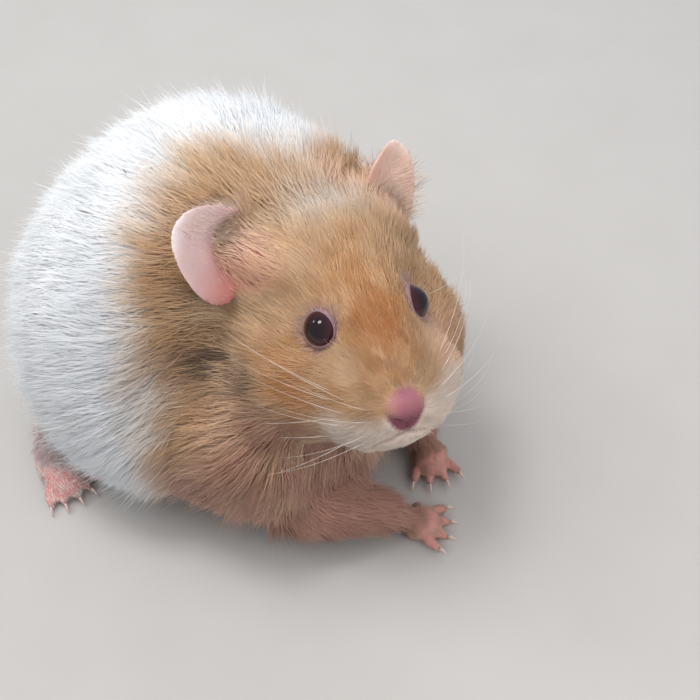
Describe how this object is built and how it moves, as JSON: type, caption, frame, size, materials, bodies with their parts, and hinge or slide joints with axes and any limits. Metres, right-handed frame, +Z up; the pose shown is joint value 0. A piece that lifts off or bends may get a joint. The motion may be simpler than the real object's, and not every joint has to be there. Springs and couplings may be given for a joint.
{
  "type": "syrian hamster",
  "caption": "Life-size museum-like model of a Syrian hamster, crouched on its belly with the head raised and turned to its right.",
  "frame": {"origin": "middle of the underside of the bounding box, on the floor that the animal lies on", "axes": "+X forwards along the trunk, +Y to the animal's left, +Z up from the floor"},
  "size_m": [0.0984, 0.0802, 0.0695],
  "materials": {
    "white_coat": "soft white fur, matt",
    "tan_coat": "soft golden tan fur, matt",
    "bare_skin": "thin pink skin with sparse short hair",
    "nose_skin": "pink, slightly moist",
    "eye": "wet, very dark ruby",
    "claw": "smooth pale horn"
  },
  "bodies": {
    "root": {"trunk": "white_coat", "right_thigh": "white_coat", "left_thigh": "white_coat", "right_forearm": "white_coat", "left_forearm": "white_coat", "right_shank": "white_coat", "left_shank": "white_coat", "head": "tan_coat", "neck": "tan_coat", "right_upper_arm": "tan_coat", "left_upper_arm": "tan_coat", "ear_right": "bare_skin", "ear_left": "bare_skin", "right_forepaw": "bare_skin", "left_forepaw": "bare_skin", "right_hind_foot": "bare_skin", "left_hind_foot": "bare_skin", "tail": "bare_skin", "nose": "nose_skin", "eye_right": "eye", "eye_left": "eye", "right_forepaw_claw_1": "claw", "right_forepaw_claw_2": "claw", "right_forepaw_claw_3": "claw", "right_forepaw_claw_4": "claw", "right_hind_foot_claw_1": "claw", "right_hind_foot_claw_2": "claw", "right_hind_foot_claw_3": "claw", "right_hind_foot_claw_4": "claw", "right_hind_foot_claw_5": "claw", "left_forepaw_claw_1": "claw", "left_forepaw_claw_2": "claw", "left_forepaw_claw_3": "claw", "left_forepaw_claw_4": "claw", "left_hind_foot_claw_1": "claw", "left_hind_foot_claw_2": "claw", "left_hind_foot_claw_3": "claw", "left_hind_foot_claw_4": "claw", "left_hind_foot_claw_5": "claw"}
  },
  "joints": []
}
